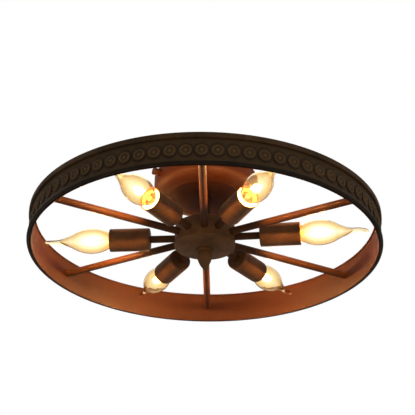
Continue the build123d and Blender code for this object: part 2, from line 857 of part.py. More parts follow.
# Lamp places: cup, holder, shell and contact on each arm, and the bulb that screws into them
holders = []
shells = []
contacts = []
for number, (angle, roll) in enumerate(zip(arm_angles, bulb_turns), 1):
    save(socket_cup(angle), f"socket_cup_{number}")
    holders.append(lamp_holder(angle))
    shells.append(holder_shell(angle))
    contacts.append(holder_contact(angle))
    save(bulb_contact(angle), f"bulb_{number}_contact")
    save(bulb_cap(angle), f"bulb_{number}_cap")
    save(bulb_glass(angle, roll), f"bulb_{number}_glass")
for name, pieces in (("lamp_holders", holders), ("holder_shells", shells), ("holder_contacts", contacts)):
    with BuildPart() as group:
        add(pieces)
    save(group.part, name)
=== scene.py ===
from math import cos, pi, radians, sin, tan

import bmesh
import bpy
import numpy as np
from bpy.props import FloatProperty, FloatVectorProperty, IntProperty, PointerProperty
from bpy.types import Operator, Panel, PropertyGroup
from mathutils import Matrix, Vector


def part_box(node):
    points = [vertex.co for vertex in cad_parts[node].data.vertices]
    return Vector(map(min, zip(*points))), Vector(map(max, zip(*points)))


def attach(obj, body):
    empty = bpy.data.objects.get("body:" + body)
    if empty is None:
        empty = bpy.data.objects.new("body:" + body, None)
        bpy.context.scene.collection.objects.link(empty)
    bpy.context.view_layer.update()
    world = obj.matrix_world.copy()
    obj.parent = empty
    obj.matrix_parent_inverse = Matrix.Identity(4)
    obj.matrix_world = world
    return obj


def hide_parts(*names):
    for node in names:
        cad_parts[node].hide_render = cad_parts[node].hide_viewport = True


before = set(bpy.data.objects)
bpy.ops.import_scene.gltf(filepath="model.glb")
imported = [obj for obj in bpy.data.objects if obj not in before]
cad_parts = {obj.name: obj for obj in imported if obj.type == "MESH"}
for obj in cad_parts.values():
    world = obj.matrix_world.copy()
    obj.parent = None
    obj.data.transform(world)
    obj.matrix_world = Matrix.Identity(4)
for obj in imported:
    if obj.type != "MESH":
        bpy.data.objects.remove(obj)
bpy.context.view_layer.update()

bl_info = {
    "name": "Wheel Ceiling Light",
    "version": (1, 0, 0),
    "blender": (4, 5, 0),
    "location": "View3D > Sidebar > Wheel Light",
    "description": "Builds the looks of a wheel flush mount ceiling light around its fixed frame",
    "category": "Add Mesh",
}

LAMP_COUNT = 6
SPOKE_COUNT = 6
AXIS_UP = Vector((0, 0, 1))
FIXTURE = "fixture"


def middle(node):
    """Centre of a frame node's box."""
    low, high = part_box(node)
    return (low + high) / 2


def turn_of(node):
    """Angle of a node's centre around the light's axis."""
    centre = middle(node)
    return float(np.arctan2(centre.y, centre.x))


def reach(node):
    """Largest distance of a round node from the light's axis."""
    low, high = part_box(node)
    return (high.x - low.x) / 2


def along_ray(node, turn):
    """Nearest and farthest points of a frame node along a ray."""
    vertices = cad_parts[node].data.vertices
    points = np.empty(len(vertices) * 3, np.float32)
    vertices.foreach_get("co", points)
    along = points.reshape(-1, 3)[:, :2] @ np.array((cos(turn), sin(turn)))
    return float(along.min()), float(along.max())


def ray_sizes(node):
    """Turn, start, end and radius of a round node that lies along a ray."""
    turn = turn_of(node)
    low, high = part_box(node)
    return turn, *along_ray(node, turn), (high.z - low.z) / 2


def cup_mouth(number):
    """Distance of a cup's mouth from the light's axis."""
    return along_ray(f"socket_cup_{number}", turn_of(f"bulb_{number}_cap"))[1]


# Sizes that follow the frame
HOOP_LOW, HOOP_HIGH = (corner.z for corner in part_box("rim_hoop"))
HOOP_RADIUS = reach("rim_hoop")
BEAD_RADIUS = reach("rim_top_bead")
STRIP_RADIUS = reach("rosette_strip")
TOP_BEAD_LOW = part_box("rim_top_bead")[0].z
BOTTOM_BEAD_LOW, BOTTOM_BEAD_HIGH = (corner.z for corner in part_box("rim_bottom_bead"))
STRIP_MIDDLE = middle("rosette_strip").z
ARM_HEIGHT = middle("spoke_1").z
HUB_LOW, HUB_HIGH = (corner.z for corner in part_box("hub_drum"))
HUB_RADIUS = reach("hub_drum")
COVER_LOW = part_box("hub_cover")[0].z
FINIAL_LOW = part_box("finial")[0].z
FINIAL_RADIUS = reach("finial")
CANOPY_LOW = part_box("canopy")[0].z
CANOPY_RADIUS = reach("canopy")
SLEEVE_RADIUS = reach("stem_sleeve")

# Sizes that several pieces share
TUBE_HOLE = 0.00505
GLASS_LENGTH = 0.092


# Colours


def srgb(red, green, blue):
    """Scene colour of a screen colour given as 0 to 255."""
    screen = np.array((red, green, blue)) / 255
    linear = np.where(screen <= 0.04045, screen / 12.92, ((screen + 0.055) / 1.055) ** 2.4)
    return tuple(float(part) for part in linear)


class RimSettings(PropertyGroup):
    """Sizes of the wheel's rim."""

    hoop_thickness: FloatProperty(
        name="Hoop thickness", description="Sheet thickness of the hoop", default=0.0015, unit="LENGTH"
    )
    flange_width: FloatProperty(
        name="Flange width", description="Flange at the hoop's top edge", default=0.0021, unit="LENGTH"
    )
    bead_round: FloatProperty(
        name="Bead rounding", description="Radius of the beads' corners", default=0.0016, unit="LENGTH"
    )
    rosette_count: IntProperty(
        name="Rosettes", description="Number of rosettes around the strip", default=78
    )
    rosette_radius: FloatProperty(
        name="Rosette radius", description="Outer radius of a rosette", default=0.0082, unit="LENGTH"
    )


class BulbSettings(PropertyGroup):
    """Sizes of a flame tip bulb and its light."""

    glass_radius: FloatProperty(
        name="Glass radius", description="Widest radius of the glass", default=0.0175, unit="LENGTH"
    )
    glass_wall: FloatProperty(
        name="Glass wall", description="Thickness of the glass", default=0.0009, unit="LENGTH"
    )
    tail_root: FloatProperty(
        name="Tail root", description="From the cup's mouth to the root of the tail", default=0.060,
        unit="LENGTH",
    )
    tail_rise: FloatProperty(
        name="Tail rise", description="Length of the tail's first bend", default=0.010, unit="LENGTH"
    )
    tail_fall: FloatProperty(
        name="Tail fall", description="Length of the tail's bend back", default=0.022, unit="LENGTH"
    )
    rise_turn: FloatProperty(
        name="Rise turn", description="Angle of the tail's first bend", default=radians(10),
        subtype="ANGLE",
    )
    fall_turn: FloatProperty(
        name="Fall turn", description="Angle of the tail's bend back", default=radians(34),
        subtype="ANGLE",
    )
    thread_pitch: FloatProperty(
        name="Thread pitch", description="Rise of the cap's thread in a turn", default=0.00282,
        unit="LENGTH",
    )
    lamp_power: FloatProperty(
        name="Lamp power", description="Light given by each bulb", default=1.5, unit="POWER"
    )
    lamp_colour: FloatVectorProperty(
        name="Lamp colour", description="Warm colour of the bulbs' light", default=(1.0, 0.5, 0.17),
        subtype="COLOR", size=3,
    )


class PaintSettings(PropertyGroup):
    """Colours of the rust bronze paint."""

    base: FloatVectorProperty(
        name="Base", description="Main colour of the paint", default=srgb(62, 44, 25),
        subtype="COLOR", size=3,
    )
    shade: FloatVectorProperty(
        name="Shade", description="Darker mottling", default=srgb(42, 30, 17), subtype="COLOR", size=3
    )
    # The worn colour also serves as painted highlight on the rosettes' rings and dots and on the strip's
    # open face.
    worn_and_lit: FloatVectorProperty(
        name="Worn", description="Raised spots where the paint is rubbed", default=srgb(104, 82, 54),
        subtype="COLOR", size=3,
    )
    rust: FloatVectorProperty(
        name="Rust", description="Rusty flecks", default=srgb(104, 50, 15), subtype="COLOR", size=3
    )


class StageSettings(PropertyGroup):
    """The view and the studio light."""

    camera_distance: FloatProperty(
        name="Distance", description="Camera to the rim's centre", default=1.5181, unit="LENGTH"
    )
    camera_below: FloatProperty(
        name="Below", description="Angle of the camera below the rim", default=radians(26.18),
        subtype="ANGLE",
    )
    camera_turn: FloatProperty(
        name="Turn", description="Angle of the view around the light", default=radians(-28.6),
        subtype="ANGLE",
    )
    camera_roll: FloatProperty(
        name="Roll", description="Roll of the camera about its view", default=0.0164, subtype="ANGLE"
    )
    view_angle: FloatProperty(
        name="View angle", description="Width of the view", default=radians(21.014), subtype="ANGLE"
    )
    floor_drop: FloatProperty(
        name="Floor", description="Floor below the ceiling plane", default=2.4, unit="LENGTH"
    )
    world_light: FloatProperty(name="World light", description="Strength of the even light", default=0.42)


# Shader maths


class Socket:
    """Output of a node. Python's operators on it add Math nodes."""

    def __init__(self, nodes, socket):
        self.nodes = nodes
        self.socket = socket

    def math(self, operation, *values):
        return self.nodes.add("ShaderNodeMath", {"operation": operation}, dict(enumerate(values)))

    def __add__(self, other):
        return self.math("ADD", self, other)

    __radd__ = __add__

    def __sub__(self, other):
        return self.math("SUBTRACT", self, other)

    def __rsub__(self, other):
        return self.math("SUBTRACT", other, self)

    def __mul__(self, other):
        return self.math("MULTIPLY", self, other)

    __rmul__ = __mul__

    def __truediv__(self, other):
        return self.math("DIVIDE", self, other)

    def __pow__(self, other):
        return self.math("POWER", self, other)

    def at_least(self, other):
        return self.math("MAXIMUM", self, other)

    def fraction(self):
        return self.math("FRACT", self)

    def above(self, other):
        return self.math("GREATER_THAN", self, other)

    def angle_over(self, other):
        """Angle of the point whose height is this value and whose breadth is the other."""
        return self.math("ARCTAN2", self, other)


class Nodes:
    """Node tree of a material or the world, with one method that makes any node."""

    def __init__(self, owner):
        owner.use_nodes = True
        self.owner = owner
        self.tree = owner.node_tree
        self.tree.nodes.clear()

    def add(self, kind, settings=None, inputs=None, output=0):
        node = self.tree.nodes.new(kind)
        for name, value in (settings or {}).items():
            if name == "stops":
                self.set_stops(node.color_ramp, value)
            else:
                setattr(node, name, value)
        for name, value in (inputs or {}).items():
            if isinstance(value, Socket):
                self.tree.links.new(value.socket, node.inputs[name])
            else:
                node.inputs[name].default_value = value
        return Socket(self, node.outputs[output]) if node.outputs else None

    @staticmethod
    def set_stops(ramp, stops):
        while len(ramp.elements) < len(stops):
            ramp.elements.new(1)
        for element, (place, value) in zip(ramp.elements, stops):
            element.position = place
            element.color = (value, value, value, 1) if isinstance(value, float) else (*value, 1)

    def coordinates(self):
        return self.add("ShaderNodeTexCoord", output="Object")

    def noise(self, scale, detail=4.0, roughness=0.55, stretch=(1, 1, 1)):
        place = self.add("ShaderNodeMapping", None, {"Vector": self.coordinates(), "Scale": stretch})
        return self.add(
            "ShaderNodeTexNoise", None,
            {"Vector": place, "Scale": scale, "Detail": detail, "Roughness": roughness}, "Fac",
        )

    def ramp(self, value, stops):
        return self.add("ShaderNodeValToRGB", {"stops": stops}, {"Fac": value})

    def mix(self, factor, first, second):
        return self.add(
            "ShaderNodeMix", {"data_type": "RGBA"}, {0: factor, 6: first, 7: second}, output=2
        )

    def times(self, first, second):
        return self.add(
            "ShaderNodeMix", {"data_type": "RGBA", "blend_type": "MULTIPLY"},
            {0: 1.0, 6: first, 7: second}, output=2,
        )

    def place(self, axis):
        return self.add("ShaderNodeSeparateXYZ", None, {"Vector": self.coordinates()}, output=axis)

    def from_axis(self):
        """Distance of a point from the light's axis."""
        return (self.place("X") ** 2 + self.place("Y") ** 2) ** 0.5

    def bump(self, height, strength, distance):
        return self.add(
            "ShaderNodeBump", None, {"Height": height, "Strength": strength, "Distance": distance}
        )

    def principled(self, inputs):
        return self.add("ShaderNodeBsdfPrincipled", None, inputs)

    def finish(self, shader):
        self.add("ShaderNodeOutputMaterial", None, {"Surface": shader})
        return self.owner


def opaque(colour):
    """Colour with a full alpha."""
    return (*colour, 1.0)


def new_finish(name):
    return Nodes(bpy.data.materials.new(name))


def bronze_paint(name, light=1.0, warm=0.1, low=1.0, worn_and_lit=None):
    """Dark bronze paint: mottled, with a fine sandy grain, flecks of rust and a low sheen.

    Light scales the colours: it is painted light and shade, set per piece so that lit and shaded copies of
    the one paint stand for how light falls on each piece. Warm is the share of rust in them. The optional
    mask function gives a socket which runs from 0, where the colour is scaled by low, to 1 where it takes
    the worn colour: rubbed wear and drawn streaks, and on the rosettes and the strip painted highlight,
    with painted shade where it is low.
    """
    paint = bpy.context.scene.wheel_paint
    nodes = new_finish(name)

    def tone(colour):
        rusted = [(1 - warm) * part + warm * rusty for part, rusty in zip(colour, paint.rust)]
        return opaque([light * part for part in rusted])

    cloud = nodes.noise(34, 6, 0.62)
    fleck = nodes.ramp(nodes.noise(260, 5, 0.7), [(0.54, 0.0), (0.68, 1.0)])
    grain = nodes.noise(1400, 3, 0.6)
    patch = nodes.ramp(cloud, [(0.36, 0.0), (0.66, 1.0)])
    mottled = nodes.mix(patch, tone(paint.shade), tone(paint.base))
    colour = nodes.mix(fleck * patch * 0.5, mottled, tone(paint.rust))
    if worn_and_lit:
        # Colour scaled by low: darker between the hoop's drawn streaks, painted shade in the rosettes'
        # grooves and around them
        dulled_and_shaded = nodes.times(colour, opaque((low, low, low)))
        colour = nodes.mix(worn_and_lit(nodes), dulled_and_shaded, tone(paint.worn_and_lit))
    sheen = 0.5 + 0.22 * grain - 0.12 * patch
    relief = nodes.bump(grain + 1.6 * cloud, 0.22, 0.0004)
    shader = nodes.principled(
        {
            "Base Color": colour,
            "Roughness": sheen,
            "Normal": relief,
            "Metallic": 0.0,
            "Specular IOR Level": 0.12,
        }
    )
    return nodes.finish(shader)


def shaded_canopy_paint():
    """Paint of the canopy and its screws: a darker, warmer copy of the paint, painted shade."""
    return bronze_paint("bronze_paint", light=0.34, warm=0.75)


def lit_hub_paint():
    """Paint of the hub, its cover and the finial: a lighter copy of the paint, painted light from the front
    and below.
    """
    return bronze_paint("lit_hub_bronze_paint", light=2.2, warm=0.08)


def lit_cup_paint():
    """Lighter copy of the paint on the socket cups: painted light for the warm light that falls on them."""
    return bronze_paint("lit_cup_bronze_paint", light=1.95, warm=0.12)


def spoke_paint():
    """Paint of the spokes and arms."""
    return bronze_paint("spoke_bronze_paint", light=0.72, warm=0.35)


def top_bead_paint():
    """Paint of the rim's upper bead."""
    return bronze_paint("top_bead_bronze_paint", light=1.3, warm=0.0)


def shaded_bottom_bead_paint():
    """Dark copy of the paint on the rim's lower bead: painted shade for its shaded underside."""
    return bronze_paint("shaded_dark_bronze_paint", light=0.3, warm=0.0)


def hoop_paint():
    """Paint of the hoop, with faint drawn streaks across the band."""

    def streaks(nodes):
        drawn = nodes.noise(420, 5, 0.7, (1, 1, 0.14))
        return nodes.ramp(drawn, [(0.34, 0.0), (0.6, 0.22), (0.8, 0.4)])

    return bronze_paint("hoop_bronze_paint", light=0.3, warm=0.88, low=0.66, worn_and_lit=streaks)


def rosette_paint():
    """Paint lighter on the rosettes' rings and dots, from wear and painted highlight, and darker in their
    grooves, painted shade.
    """
    relief_height = 0.0025

    def relief_wear_and_groove_shade(nodes):
        height = (nodes.from_axis() - STRIP_RADIUS) / relief_height
        return nodes.ramp(height, [(0.25, 0.0), (0.42, 0.25), (0.9, 0.9)])

    return bronze_paint("worn_and_shaded_rosette_paint", light=1.0, warm=0.0, low=0.78, worn_and_lit=relief_wear_and_groove_shade)


def strip_paint():
    """Paint of the strip, darker around each rosette as painted shade: distance d from the nearest
    rosette's centre.

    With the turn a counted in rosettes, d = sqrt((pitch (fract(a + 0.5) - 0.5))^2 + (z - middle)^2).
    """
    rim = bpy.context.scene.wheel_rim
    pitch = 2 * pi * STRIP_RADIUS / rim.rosette_count
    rosette_shade_radius = 1.6 * rim.rosette_radius

    def open_face_and_rosette_shade(nodes):
        turn = nodes.place("Y").angle_over(nodes.place("X"))
        count = turn * (rim.rosette_count / (2 * pi)) + 0.5
        sideways = (count.fraction() - 0.5) * pitch
        height = nodes.place("Z") - STRIP_MIDDLE
        distance = (sideways ** 2 + height ** 2) ** 0.5
        return nodes.ramp(distance / rosette_shade_radius, [(0.6, 0.0), (0.95, 0.3)])

    return bronze_paint("rosette_shaded_strip_paint", light=0.85, warm=0.0, low=0.5, worn_and_lit=open_face_and_rosette_shade)


def zinc_steel():
    """Zinc plated steel: fine drawn streaks and faint cloudy spangle."""
    nodes = new_finish("zinc_steel")
    streaks = nodes.noise(900, 3, 0.6, (1, 0.06, 0.06))
    cloud = nodes.noise(120, 4)
    colour = nodes.mix(cloud, opaque((0.46, 0.47, 0.47)), opaque((0.68, 0.68, 0.66)))
    shader = nodes.principled(
        {
            "Base Color": colour,
            "Metallic": 1.0,
            "Roughness": 0.24 + 0.2 * streaks,
            "Normal": nodes.bump(streaks, 0.12, 0.0002),
        }
    )
    return nodes.finish(shader)


def green_steel():
    """Green passivated screw."""
    nodes = new_finish("green_steel")
    cloud = nodes.noise(300, 4)
    colour = nodes.mix(cloud, opaque((0.02, 0.17, 0.06)), opaque((0.05, 0.3, 0.1)))
    shader = nodes.principled({"Base Color": colour, "Metallic": 0.85, "Roughness": 0.25 + 0.2 * cloud})
    return nodes.finish(shader)


def moulded_plastic():
    """Satin off white moulding with a fine spark texture."""
    nodes = new_finish("moulded_plastic")
    spark = nodes.noise(2200, 2)
    cloud = nodes.noise(60, 3)
    colour = nodes.mix(cloud, opaque((0.72, 0.71, 0.66)), opaque((0.8, 0.79, 0.75)))
    shader = nodes.principled(
        {"Base Color": colour, "Roughness": 0.38 + 0.15 * spark, "Normal": nodes.bump(spark, 0.1, 0.0002)}
    )
    return nodes.finish(shader)


def wire_sleeving():
    """Insulation: brown on one side of the stem's plane and pale blue on the other."""
    nodes = new_finish("wire_sleeving")
    live = nodes.place("Y").above(0.0)
    ribs = nodes.noise(700, 3)
    colour = nodes.mix(live, opaque((0.09, 0.22, 0.5)), opaque((0.16, 0.06, 0.03)))
    shader = nodes.principled(
        {"Base Color": colour, "Roughness": 0.35 + 0.2 * ribs, "Normal": nodes.bump(ribs, 0.08, 0.0002)}
    )
    return nodes.finish(shader)


def white_porcelain():
    """Glazed porcelain with a faint speckle."""
    nodes = new_finish("white_porcelain")
    speck = nodes.ramp(nodes.noise(900, 5, 0.7), [(0.6, 0.0), (0.74, 1.0)])
    colour = nodes.mix(0.35 * speck, opaque((0.84, 0.8, 0.7)), opaque((0.45, 0.33, 0.18)))
    shader = nodes.principled(
        {"Base Color": colour, "Roughness": 0.22 + 0.1 * speck, "Coat Weight": 0.4, "Coat Roughness": 0.08}
    )
    return nodes.finish(shader)


def rolled_brass():
    """Rolled brass, slightly tarnished."""
    nodes = new_finish("rolled_brass")
    tarnish = nodes.noise(260, 5, 0.65)
    colour = nodes.mix(tarnish, opaque((0.82, 0.62, 0.28)), opaque((0.5, 0.34, 0.13)))
    shader = nodes.principled({"Base Color": colour, "Metallic": 1.0, "Roughness": 0.2 + 0.25 * tarnish})
    return nodes.finish(shader)


def dull_solder():
    """Solder button."""
    nodes = new_finish("dull_solder")
    cloud = nodes.noise(800, 4)
    colour = nodes.mix(cloud, opaque((0.42, 0.42, 0.43)), opaque((0.62, 0.62, 0.61)))
    shader = nodes.principled({"Base Color": colour, "Metallic": 1.0, "Roughness": 0.3 + 0.3 * cloud})
    return nodes.finish(shader)


def bulb_glass():
    """Clear glass over a painted glow: pale where it faces the eye, amber near the outline, dark at its
    very edge.

    The amber is partly the glass's tint and partly painted reflection of the filament's light. The painted
    glow is strongest around the filament and fades along the tail, by the distance from the axis.
    """
    nodes = new_finish("bulb_glass")
    facing = nodes.add("ShaderNodeLayerWeight", None, {"Blend": 0.5}, output="Facing")
    along = (nodes.from_axis() - cup_mouth(1)) / GLASS_LENGTH
    tint_and_reflection = nodes.times(nodes.ramp(facing, GLASS_TINT_AND_REFLECTION), nodes.ramp(along, GLASS_TINT_AND_REFLECTION_ALONG))
    glow = nodes.times(nodes.ramp(facing, GLASS_GLOW), nodes.ramp(along, GLASS_GLOW_ALONG))
    shader = nodes.principled(
        {
            "Base Color": tint_and_reflection,
            "Roughness": 0.03,
            "Transmission Weight": 1.0,
            "IOR": 1.3,
            "Emission Color": glow,
            "Emission Strength": 0.3,
        }
    )
    return nodes.finish(shader)


def glowing_filament():
    """White hot wire."""
    nodes = new_finish("glowing_filament")
    wave = nodes.noise(500, 2)
    colour = nodes.mix(wave, opaque((1.0, 0.86, 0.6)), opaque((1.0, 0.95, 0.82)))
    shader = nodes.principled(
        {"Base Color": opaque((0.9, 0.8, 0.6)), "Emission Color": colour, "Emission Strength": 40.0}
    )
    return nodes.finish(shader)


def stem_glass():
    """Clear glass of the filament's stem."""
    nodes = new_finish("stem_glass")
    ripple = nodes.noise(300, 2)
    shader = nodes.principled(
        {
            "Base Color": opaque((1.0, 0.98, 0.94)),
            "Roughness": 0.02,
            "Transmission Weight": 1.0,
            "IOR": 1.46,
            "Normal": nodes.bump(ripple, 0.1, 0.0003),
        }
    )
    return nodes.finish(shader)


def pale_floor():
    """Pale floor that lights the object plainly. A camera sees it near white, with the object's shadow."""
    nodes = new_finish("pale_floor")
    cloud = nodes.noise(3, 3)
    colour = nodes.mix(cloud, opaque((0.86, 0.86, 0.86)), opaque((0.9, 0.9, 0.9)))
    plain = nodes.principled({"Base Color": colour, "Roughness": 0.9})
    white = nodes.add("ShaderNodeEmission", None, {"Color": (1, 1, 1, 1), "Strength": 1.0})
    seen = nodes.add("ShaderNodeLightPath", output="Is Camera Ray")
    return nodes.finish(nodes.add("ShaderNodeMixShader", None, {0: 0.65 * seen, 1: plain, 2: white}))


# Colours of the bulbs' glass, its tint with painted reflection of the filament's light and its painted
# glow, by how far it turns from the eye: 0 faces it, 1 is the outline
GLASS_TINT_AND_REFLECTION = [
    (0.0, (0.98, 0.97, 0.93)), (0.1, (0.94, 0.9, 0.77)), (0.28, (0.86, 0.75, 0.53)),
    (0.7, (0.8, 0.68, 0.48)), (0.93, (0.46, 0.38, 0.28)),
]
GLASS_GLOW = [
    (0.0, (1.0, 0.95, 0.76)), (0.1, (0.6, 0.49, 0.29)), (0.28, (0.2, 0.13, 0.05)),
    (0.7, (0.08, 0.05, 0.02)), (0.93, (0.02, 0.014, 0.008)),
]
# The same by the distance from the cup's mouth: 0 is the mouth, 1 the tip of the tail
GLASS_TINT_AND_REFLECTION_ALONG = [
    (0.0, (1.0, 0.86, 0.6)), (0.2, (1.0, 0.98, 0.92)), (0.6, (0.99, 0.95, 0.86)), (0.8, (0.9, 0.78, 0.58)),
]
GLASS_GLOW_ALONG = [
    (0.0, (1.0, 0.66, 0.25)), (0.14, (1.0, 0.94, 0.8)), (0.42, (0.95, 0.9, 0.8)),
    (0.66, (0.3, 0.2, 0.1)), (0.85, (0.1, 0.06, 0.03)),
]

FINISHES = {}


def finish(name):
    """The finish that its maker function gives, made once."""
    if name not in FINISHES:
        FINISHES[name] = MAKERS[name]()
    return FINISHES[name]


MAKERS = {
    "paint": shaded_canopy_paint,
    "lit_hub_paint": lit_hub_paint,
    "lit_cup_paint": lit_cup_paint,
    "spoke_paint": spoke_paint,
    "top_bead_paint": top_bead_paint,
    "shaded_bottom_bead_paint": shaded_bottom_bead_paint,
    "hoop_paint": hoop_paint,
    "rosette_paint": rosette_paint,
    "strip_paint": strip_paint,
    "zinc": zinc_steel,
    "green": green_steel,
    "plastic": moulded_plastic,
    "sleeving": wire_sleeving,
    "porcelain": white_porcelain,
    "brass": rolled_brass,
    "solder": dull_solder,
    "glass": bulb_glass,
    "filament": glowing_filament,
    "stem": stem_glass,
    "floor": pale_floor,
}


# Surfaces


def rounded(corners, radius, steps=5):
    """Closed outline whose corners are arcs that touch both sides of a corner at an equal distance from it.

    The arc's points are (1-t)^2 a + 2 t (1-t) b + t^2 c, with b the corner and a, c on its sides.
    """
    corners = np.array(corners, float)
    before = np.roll(corners, 1, axis=0) - corners
    after = np.roll(corners, -1, axis=0) - corners
    length_before = np.linalg.norm(before, axis=1, keepdims=True)
    length_after = np.linalg.norm(after, axis=1, keepdims=True)
    cut = np.minimum(np.minimum(length_before, length_after) * 0.45, np.reshape(radius, (-1, 1)))
    start = corners + before / length_before * cut
    end = corners + after / length_after * cut
    t = np.linspace(0, 1, steps + 1)[None, :, None]
    arcs = (1 - t) ** 2 * start[:, None] + 2 * t * (1 - t) * corners[:, None] + t**2 * end[:, None]
    return arcs.reshape(-1, 2)


def ring_section(inner, outer, low, high):
    """Corners of a ring's rectangular section."""
    return [(inner, low), (outer, low), (outer, high), (inner, high)]


def quads_between(index):
    """Quads of a grid of point numbers."""
    corners = [index[:-1, :-1], index[1:, :-1], index[1:, 1:], index[:-1, 1:]]
    return np.stack(corners, -1).reshape(-1, 4)


def mesh_from_grid(name, grid, closed_profile, finish_name):
    """Quads over a grid of points whose second direction runs round. The grid is (stations, round, 3)."""
    stations, around = grid.shape[:2]
    index = np.arange(stations * around).reshape(stations, around)
    if closed_profile:
        index = np.vstack([index, index[:1]])
    index = np.hstack([index, index[:, :1]])
    return new_piece(name, grid.reshape(-1, 3), quads_between(index), finish_name)


def new_piece(name, points, faces, finish_name):
    """Mesh object from whole arrays, with doubles merged, normals outwards and smooth faces."""
    mesh = bpy.data.meshes.new(name)
    mesh.from_pydata(points.tolist(), [], faces.tolist())
    edit = bmesh.new()
    edit.from_mesh(mesh)
    bmesh.ops.remove_doubles(edit, verts=edit.verts, dist=2e-6)
    bmesh.ops.dissolve_degenerate(edit, edges=edit.edges, dist=1e-6)
    bmesh.ops.recalc_face_normals(edit, faces=edit.faces)
    edit.to_mesh(mesh)
    edit.free()
    mesh.polygons.foreach_set("use_smooth", np.ones(len(mesh.polygons), bool))
    mesh.set_sharp_from_angle(angle=radians(40))
    mesh.materials.append(finish(finish_name))
    piece = bpy.data.objects.new(name, mesh)
    bpy.context.scene.collection.objects.link(piece)
    return piece


def weigh_normals(piece):
    """Shade large faces flat beside their small roundings."""
    weighted = piece.modifiers.new("weighted normals", "WEIGHTED_NORMAL")
    weighted.keep_sharp = True
    weighted.weight = 60
    return piece


def ray_frame(turn, height=ARM_HEIGHT):
    """Origin and three directions of a ray from the axis: outwards, level across it, and up."""
    out = np.array((cos(turn), sin(turn), 0.0))
    across = np.array((-sin(turn), cos(turn), 0.0))
    return np.array((0.0, 0.0, height)), out, across, np.array((0.0, 0.0, 1.0))


def turned_about_axis(name, outline, finish_name="paint", around=96, closed=True):
    """Surface of revolution about the light's axis: (r cos a, r sin a, z) for each outline point (r, z)."""
    outline = np.array(outline, float)
    angle = np.linspace(0, 2 * pi, around, endpoint=False)[None, :]
    radius = outline[:, :1]
    height = np.repeat(outline[:, 1:], around, axis=1)
    grid = np.stack([radius * np.cos(angle), radius * np.sin(angle), height], -1)
    return weigh_normals(mesh_from_grid(name, grid, closed, finish_name))


def turned_about_ray(name, outline, turn, finish_name="paint", around=64, closed=True):
    """Surface of revolution about a ray: origin + s out + r (cos a across + sin a up) for points (s, r)."""
    origin, out, across, up = ray_frame(turn)
    outline = np.array(outline, float)
    angle = np.linspace(0, 2 * pi, around, endpoint=False)
    ring = np.cos(angle)[:, None] * across + np.sin(angle)[:, None] * up
    grid = origin + outline[:, :1, None] * out + outline[:, 1:, None] * ring[None]
    return weigh_normals(mesh_from_grid(name, grid, closed, finish_name))


def stand_for(piece, node, body=FIXTURE):
    """The piece moves with a body and takes the place of a frame node."""
    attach(piece, body)
    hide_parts(node)
    return piece


# Pieces


def make_rim():
    """Hoop, beads and strip: rounded outlines turned about the axis."""
    rim = bpy.context.scene.wheel_rim
    inner = HOOP_RADIUS - rim.hoop_thickness
    lip = inner - rim.flange_width
    shelf = HOOP_HIGH - rim.hoop_thickness
    bead_inner = STRIP_RADIUS - 0.001
    edge = 0.0004
    turned = rim.bead_round
    hoop = rounded(
        [
            (inner, HOOP_LOW), (HOOP_RADIUS, HOOP_LOW), (HOOP_RADIUS, HOOP_HIGH),
            (lip, HOOP_HIGH), (lip, shelf), (inner, shelf),
        ],
        [edge, edge, 3 * edge, edge, edge, edge],
    )
    top = rounded(
        ring_section(bead_inner, BEAD_RADIUS, TOP_BEAD_LOW, HOOP_HIGH), [edge, turned, turned, edge], 6
    )
    bottom = rounded(
        ring_section(bead_inner, BEAD_RADIUS, BOTTOM_BEAD_LOW, BOTTOM_BEAD_HIGH),
        [turned, turned, turned, edge], 6,
    )
    strip = rounded(ring_section(bead_inner, STRIP_RADIUS, BOTTOM_BEAD_HIGH, TOP_BEAD_LOW), edge / 4)
    for name, outline, finish_name, node in (
        ("hoop_band", hoop, "hoop_paint", "rim_hoop"),
        ("top_bead", top, "top_bead_paint", "rim_top_bead"),
        ("bottom_bead", bottom, "shaded_bottom_bead_paint", "rim_bottom_bead"),
        ("strip_band", strip, "strip_paint", "rosette_strip"),
    ):
        stand_for(turned_about_axis(name, outline, finish_name, around=240), node)


